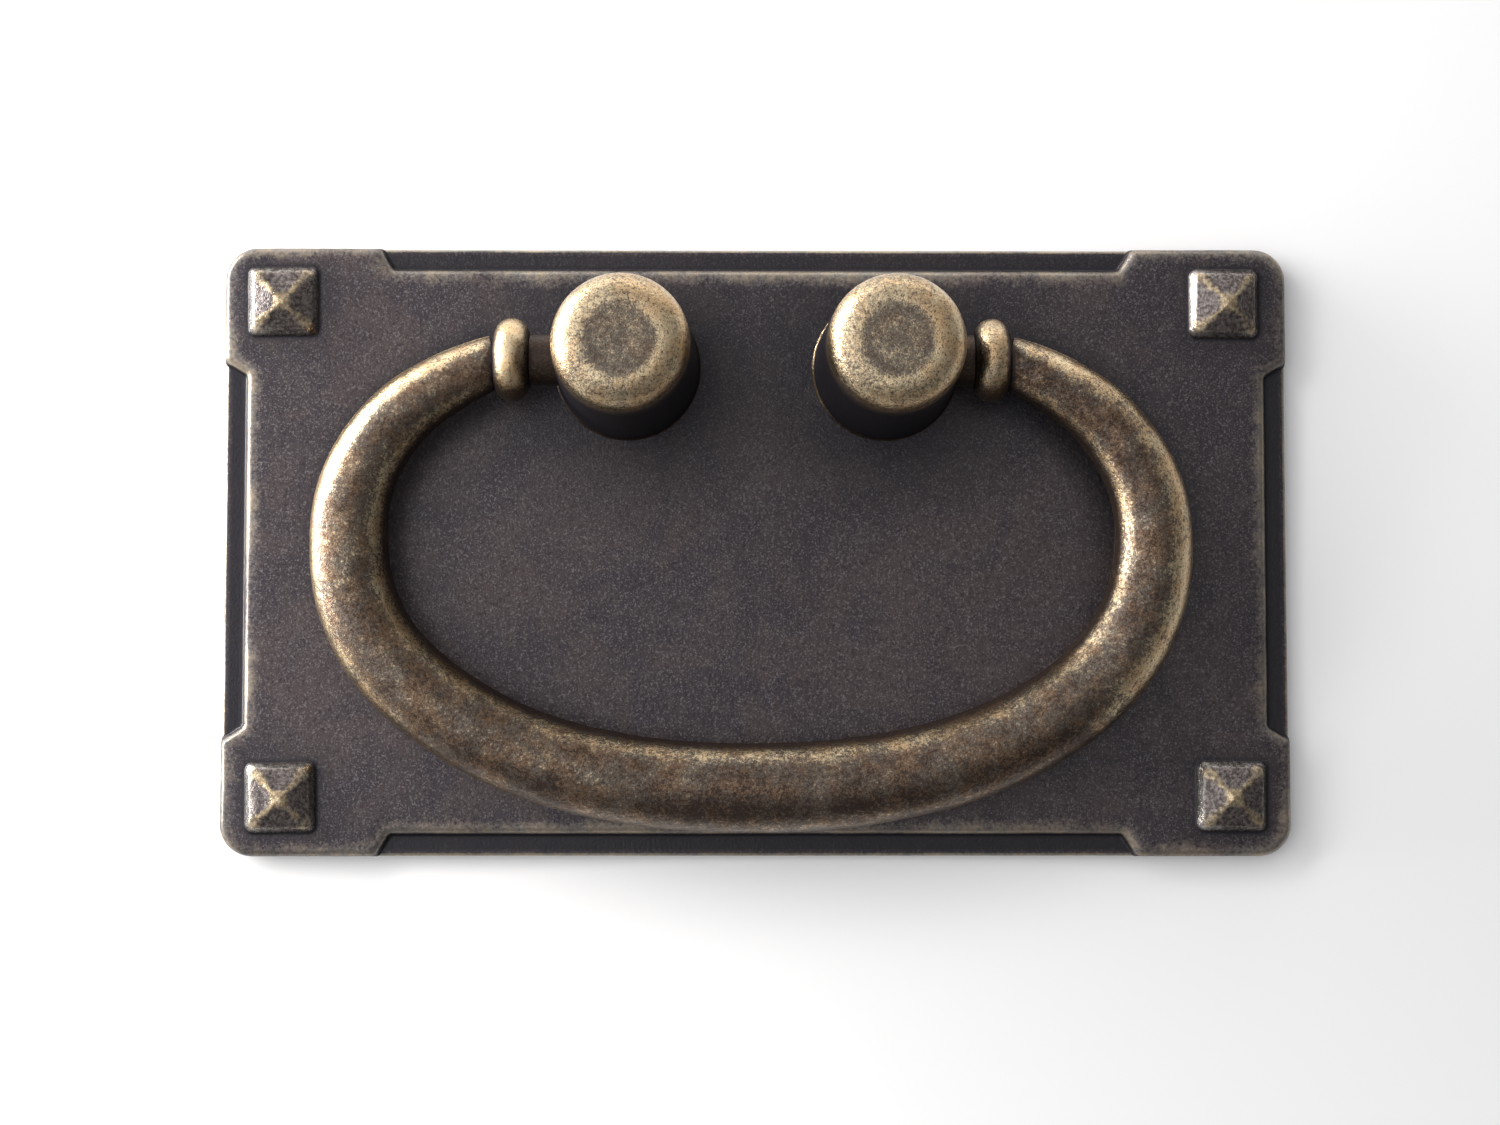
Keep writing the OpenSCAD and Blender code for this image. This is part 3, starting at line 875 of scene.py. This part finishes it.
def make_bail():
    path, outward, width = rod_path(190)
    rings = rod_rings(path, outward, width, 72)
    part = Part([])
    ids = [part.ring(r) for r in rings]
    part.bands(ids)
    part.faces += [tuple(ids[0][::-1]), tuple(ids[-1])]
    verts = np.vstack(part.verts)
    swell = lumps(verts, 4.5, 8) * 0.05 + lumps(verts, 1.6, 9) * 0.018
    middle = np.vstack([np.broadcast_to(r.mean(axis=0), r.shape) for r in rings])
    away = verts - middle
    away /= np.linalg.norm(away, axis=1)[:, None]
    verts = verts + away * (swell - 0.02)[:, None]
    bail = new_object("bail_casting", verts, part.faces, sharp=35)
    for sx in (1, -1):
        combine(bail, bail_end(sx), "UNION")
    mark_bail(bail, path, outward, width / 2)
    bail.data.transform(bail_frame())
    finish_mesh(bail, 35)
    return bail


# Materials and world


class Nodes:
    """Makes and links the nodes of a material or a world. Sockets are given by name or number."""

    def __init__(self, owner):
        owner.use_nodes = True
        self.owner, self.tree = owner, owner.node_tree
        self.tree.nodes.clear()

    def add(self, kind, inputs=None, **settings):
        node = self.tree.nodes.new(kind)
        for key, value in settings.items():
            setattr(node, key, value)
        for key, value in (inputs or {}).items():
            if isinstance(value, bpy.types.NodeSocket):
                self.tree.links.new(value, node.inputs[key])
            else:
                node.inputs[key].default_value = value
        return node

    def place(self):
        """Object coordinates in millimetres."""
        coords = self.add("ShaderNodeTexCoord").outputs["Object"]
        scaled = {0: coords, "Scale": 1 / MM}
        return self.add("ShaderNodeVectorMath", scaled, operation="SCALE").outputs["Vector"]

    def noise(self, vector, size, detail=3.0, rough=0.55, distort=0.0):
        """Noise with features of about that size in millimetres, from 0 to 1."""
        inputs = {"Vector": vector, "Scale": 1 / size, "Detail": detail}
        inputs |= {"Roughness": rough, "Distortion": distort}
        return self.add("ShaderNodeTexNoise", inputs).outputs["Fac"]

    def attribute(self, name):
        return self.add("ShaderNodeAttribute", attribute_name=name).outputs["Fac"]

    def math(self, operation, a, b=0.5, c=0.5, clamp=False):
        inputs = {0: a, 1: b, 2: c}
        return self.add("ShaderNodeMath", inputs, operation=operation, use_clamp=clamp).outputs[0]

    def shifted(self, vector, by):
        inputs = {0: vector, 1: (by, by, by)}
        return self.add("ShaderNodeVectorMath", inputs, operation="ADD").outputs["Vector"]

    def dot(self, vector, other):
        inputs = {0: vector, 1: other}
        return self.add("ShaderNodeVectorMath", inputs, operation="DOT_PRODUCT").outputs["Value"]

    def weigh(self, start, *terms):
        """Start plus each noise, measured from its middle of 0.5, times its weight."""
        total = start - sum(weight * 0.5 for _, weight in terms)
        for noise_value, weight in terms:
            total = self.math("MULTIPLY_ADD", noise_value, weight, total)
        return total

    def span(self, value, low, high, out_low=0.0, out_high=1.0):
        """Value from low to high mapped smoothly on to out_low to out_high."""
        inputs = {"Value": value, 1: low, 2: high, 3: out_low, 4: out_high}
        node = self.add("ShaderNodeMapRange", inputs, interpolation_type="SMOOTHSTEP")
        return node.outputs[0]

    def mix(self, share, a, b):
        """Colour a where share is 0 and b where it is 1, each a socket or three numbers."""
        inputs = {0: share}
        for socket, colour in ((6, a), (7, b)):
            plain = isinstance(colour, tuple)
            inputs[socket] = (*colour, 1.0) if plain else colour
        return self.add("ShaderNodeMix", inputs, data_type="RGBA").outputs[2]

    def bump(self, height, depth, normal=None):
        """Bump whose height of 0 to 1 stands for depth millimetres."""
        inputs = {"Height": height, "Distance": depth * MM, "Strength": 1.0}
        if normal is not None:
            inputs["Normal"] = normal
        return self.add("ShaderNodeBump", inputs).outputs["Normal"]

    def surface(self, **inputs):
        """Ends a material in one shader, with spaces for the underscores in its inputs."""
        named = {key.replace("_", " "): value for key, value in inputs.items()}
        shader = self.add("ShaderNodeBsdfPrincipled", named)
        self.add("ShaderNodeOutputMaterial", {"Surface": shader.outputs[0]})
        return self.owner


def rubbed_brass():
    """Antique brass: speckled patina, bright where it is rubbed and where a highlight is painted,
    brown in the low places, and black where shade is painted.
    """
    n = Nodes(bpy.data.materials.new("rubbed_brass_patina"))
    at = n.place()
    rub, grime, even = n.attribute("rub"), n.attribute("grime"), n.attribute("even")
    fleck = n.noise(at, 0.38, 3.0, 0.7)
    grain = n.noise(at, 0.15, 2.0, 0.6)
    blot = n.noise(at, 1.4, 4.0, 0.65, 0.3)
    patch = n.noise(at, 4.5, 3.0, 0.6, 0.5)
    hue = n.noise(n.shifted(at, 31.0), 2.4, 3.0, 0.65)
    pit = n.noise(n.shifted(at, 7.0), 0.24, 2.0, 0.7)

    # How far the patina is worn through, raised by painted highlights and lowered by painted
    # shade: 0 is dark brown, 1 is bright brass
    patchy = n.weigh(0.0, (patch, 0.85), (blot, 0.8))
    wear_and_painted_light = n.weigh(0.0, (fleck, 1.35), (grain, 1.1))
    wear_and_painted_light = n.math("MULTIPLY_ADD", wear_and_painted_light, n.math("MULTIPLY_ADD", even, -0.28, 1.0), 0.36)
    wear_and_painted_light = n.math("MULTIPLY_ADD", patchy, n.math("MULTIPLY_ADD", even, -0.55, 1.0), wear_and_painted_light)
    wear_and_painted_light = n.math("MULTIPLY_ADD", rub, 0.46, wear_and_painted_light)
    wear_and_painted_light = n.math("MULTIPLY_ADD", grime, -0.8, wear_and_painted_light)

    # Redder in places, but hardly where the posts and collars are dull
    dull = n.math("MULTIPLY", even, n.math("SUBTRACT", 1.0, rub, clamp=True))
    red = n.math("MULTIPLY", n.span(hue, 0.40, 0.62), n.math("MULTIPLY_ADD", dull, -0.8, 1.0))
    brown = n.mix(red, (0.094, 0.074, 0.060), (0.136, 0.084, 0.052))
    olive = n.mix(red, (0.172, 0.144, 0.112), (0.214, 0.162, 0.115))
    bright = n.mix(red, (0.66, 0.520, 0.325), (0.62, 0.425, 0.235))
    base = n.mix(n.span(wear_and_painted_light, 0.00, 0.32), (0.036, 0.025, 0.020), brown)
    base = n.mix(n.span(wear_and_painted_light, 0.28, 0.60), base, olive)
    base = n.mix(n.span(wear_and_painted_light, 0.50, 0.95), base, bright)
    pits = n.math("MULTIPLY", n.span(fleck, 0.40, 0.31), n.span(grain, 0.58, 0.42))
    pits = n.math("MULTIPLY", pits, 0.65)
    pits = n.math("MAXIMUM", pits, n.span(pit, 0.43, 0.34, 0.0, 0.80))
    base = n.mix(pits, base, (0.090, 0.050, 0.024))
    # Near black in the grooves and where shade is painted, as on the sides of the posts
    soot_and_shade = n.span(grime, 0.70, 0.98)
    base = n.mix(soot_and_shade, base, (0.005, 0.004, 0.006))

    metal = n.span(wear_and_painted_light, 0.05, 0.60, 0.70, 1.0)
    metal = n.math("MULTIPLY_ADD", n.math("MULTIPLY", metal, soot_and_shade), -1.0, metal)
    rough = n.math("MULTIPLY_ADD", grain, 0.08, n.span(wear_and_painted_light, 0.20, 0.85, 0.37, 0.26))
    normal = n.bump(n.weigh(0.5, (fleck, 1.0), (grain, 0.6)), 0.048)
    normal = n.bump(blot, 0.045, normal)
    return n.surface(
        Base_Color=base,
        Metallic=metal,
        Roughness=rough,
        Normal=normal,
        Specular_IOR_Level=0.16,
        Coat_Weight=0.06,
        Coat_Roughness=0.22,
        Coat_Normal=normal,
    )


def dark_bronze():
    """Dark patina on cast metal, mottled, near black in the hollows and where shade is painted,
    with brass showing at the worn edges.
    """
    n = Nodes(bpy.data.materials.new("dark_bronze_patina"))
    at = n.place()
    rub, grime = n.attribute("rub"), n.attribute("grime")
    cast, bevel = n.attribute("cast"), n.attribute("bevel")
    fleck = n.noise(at, 0.36, 3.0, 0.65)
    speck = n.noise(n.shifted(at, 17.0), 0.17, 2.0, 0.6)
    patch = n.noise(at, 9.0, 4.0, 0.6, 0.8)
    blot = n.noise(at, 2.2, 4.0, 0.7, 0.4)
    stretch = {"Vector": at, "Scale": (4.0, 0.30, 1.0)}
    brushed = n.add("ShaderNodeMapping", stretch, vector_type="POINT").outputs[0]
    streak = n.noise(brushed, 1.0, 2.0, 0.5)

    # The field, with pale specks and dark flecks
    base = n.mix(n.span(patch, 0.40, 0.62), (0.026, 0.020, 0.025), (0.043, 0.030, 0.031))
    base = n.mix(n.span(blot, 0.45, 0.70, 0.0, 0.35), base, (0.060, 0.047, 0.044))
    base = n.mix(n.span(streak, 0.50, 0.72, 0.0, 0.30), base, (0.062, 0.048, 0.042))
    base = n.mix(n.span(speck, 0.53, 0.66, 0.0, 0.85), base, (0.120, 0.106, 0.106))
    base = n.mix(n.span(fleck, 0.48, 0.33, 0.0, 0.7), base, (0.013, 0.009, 0.012))

    # The studs' paler metal, palest on the bevels, where the left-facing ones carry a painted
    # highlight
    bare = n.mix(n.span(fleck, 0.38, 0.62), (0.070, 0.057, 0.053), (0.205, 0.176, 0.164))
    bare = n.mix(n.span(speck, 0.52, 0.36, 0.0, 0.6), bare, (0.045, 0.034, 0.030))
    light = n.math("MULTIPLY", bevel, n.span(fleck, 0.36, 0.58, 0.45, 1.0))
    bare = n.mix(light, bare, (0.40, 0.375, 0.345))
    base = n.mix(cast, base, bare)
    # Near black in the strips' hollows, patina with painted shade, and painted shade round the
    # posts and studs and a painted shadow beside the bail
    base = n.mix(n.math("MULTIPLY", grime, 0.9), base, (0.007, 0.006, 0.009))

    # Worn edges: grey brass on the field, gold on the studs
    edge = n.math("ADD", n.weigh(0.0, (fleck, 0.55), (blot, 0.5)), rub)
    shine = n.span(edge, 0.08, 1.0)
    gold = n.mix(n.span(fleck, 0.40, 0.60), (0.32, 0.235, 0.140), (0.54, 0.430, 0.275))
    worn = n.mix(n.span(blot, 0.42, 0.60), (0.35, 0.32, 0.270), (0.42, 0.345, 0.255))
    base = n.mix(shine, base, n.mix(cast, worn, gold))

    metal = n.span(shine, 0.0, 1.0, 0.40, 0.95)
    metal = n.math("MAXIMUM", metal, n.math("MULTIPLY", cast, 0.85))
    rough = n.weigh(0.325, (blot, 0.12), (streak, 0.12))
    rough = n.math("MULTIPLY_ADD", cast, -0.06, rough)
    height = n.weigh(0.0, (fleck, 0.8), (speck, 0.6))
    height = n.math("MULTIPLY", height, n.math("MULTIPLY_ADD", cast, 0.5, 1.0))
    normal = n.bump(height, 0.036)
    normal = n.bump(blot, 0.030, normal)
    normal = n.bump(streak, 0.008, normal)
    return n.surface(
        Base_Color=base,
        Metallic=metal,
        Roughness=rough,
        Normal=normal,
        Specular_IOR_Level=0.45,
    )


def floor_paint():
    n = Nodes(bpy.data.materials.new("pale_floor"))
    return n.surface(Base_Color=(0.80, 0.79, 0.78, 1.0), Roughness=0.45)


def studio():
    """A room that is brighter to the left and the top of the picture than to the right, with a
    bright patch overhead on the left."""
    n = Nodes(bpy.data.worlds.new("studio"))
    toward = n.add("ShaderNodeTexCoord").outputs["Generated"]
    slant = n.math("ADD", n.dot(toward, (-0.47, 0.40, 0.10)), 0.56)
    patch = n.span(n.dot(toward, (-0.454, 0.0, 0.891)), 0.880, 0.985, 0.0, 1.38)
    level = n.math("MAXIMUM", n.math("ADD", slant, patch), 0.23)
    sky = n.add("ShaderNodeBackground", {"Color": (0.96, 0.97, 1.0, 1.0), "Strength": level})
    n.add("ShaderNodeOutputWorld", {"Surface": sky.outputs[0]})
    return n.owner


# Build the pieces

brass = rubbed_brass()
bronze = dark_bronze()

plate = make_plate()
plate.data.materials.append(bronze)
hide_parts("backplate")
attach(plate, "plate")

for side_name, sx in (("left_post", -1), ("right_post", 1)):
    post = make_post(side_name + "_turned", sx)
    post.data.materials.append(brass)
    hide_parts(side_name)
    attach(post, "plate")

bail = make_bail()
bail.data.materials.append(brass)
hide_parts("bail")
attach(bail, "bail")

# Floor, light and camera

FLOOR_HALF, FLOOR_Z = 1500, -0.05
floor_corners = [
    (x * FLOOR_HALF, y * FLOOR_HALF, FLOOR_Z) for x, y in ((-1, -1), (1, -1), (1, 1), (-1, 1))
]
floor = new_object("floor", floor_corners, [(0, 1, 2, 3)])
floor.data.materials.append(floor_paint())


def area_light(name, place, aim, size, radiance, mirrored=True):
    """A soft rectangle of daylight, in metres. One that isn't mirrored doesn't show in metal."""
    data = bpy.data.lights.new(name, "AREA")
    data.shape = "RECTANGLE"
    data.size, data.size_y = size
    data.energy = radiance * math.pi * size[0] * size[1]
    data.color = (1.0, 0.99, 0.97)
    lamp = bpy.data.objects.new(name, data)
    lamp.location = place
    lamp.rotation_mode = "QUATERNION"
    lamp.rotation_quaternion = (Vector(aim) - Vector(place)).to_track_quat("-Z", "Y")
    lamp.visible_camera = False
    lamp.visible_glossy = mirrored
    bpy.context.scene.collection.objects.link(lamp)


area_light("window", (-0.50, 0.17, 0.05), (0, 0, 0.03), (0.50, 0.10), 49.0)
area_light("left_low", (-0.55, 0.10, 0.20), (0, 0, 0), (1.1, 0.20), 1.3)
area_light("back_low", (-0.05, 0.60, 0.07), (0, 0, 0), (1.0, 0.14), 2.2)
area_light("floor_left", (-0.17, 0.03, 0.12), (-0.14, 0.0, 0.0), (0.30, 0.06), 9.0, False)
bpy.context.scene.world = studio()

# The camera that fits the photograph, found from the plate's corners, the studs and the posts
FOCAL_PX, FRAME_W = 2450.0, 1500.0
CAMERA_MM = Vector((-2.82, -14.69, 243.37))
CAMERA_TURN = (-0.05602, 0.00909, -0.00082)
view = (
    Matrix.Rotation(CAMERA_TURN[2], 3, "Z")
    @ Matrix.Rotation(CAMERA_TURN[1], 3, "Y")
    @ Matrix.Rotation(CAMERA_TURN[0], 3, "X")
)
camera_data = bpy.data.cameras.new("camera")
camera_data.sensor_width = 36.0
camera_data.lens = FOCAL_PX / FRAME_W * camera_data.sensor_width
camera_data.clip_start = 0.01
camera = bpy.data.objects.new("camera", camera_data)
camera.matrix_world = Matrix.Translation(CAMERA_MM * MM) @ view.transposed().to_4x4()
bpy.context.scene.collection.objects.link(camera)
bpy.context.scene.camera = camera
bpy.context.scene.view_settings.view_transform = "Standard"

bpy.context.view_layer.update()
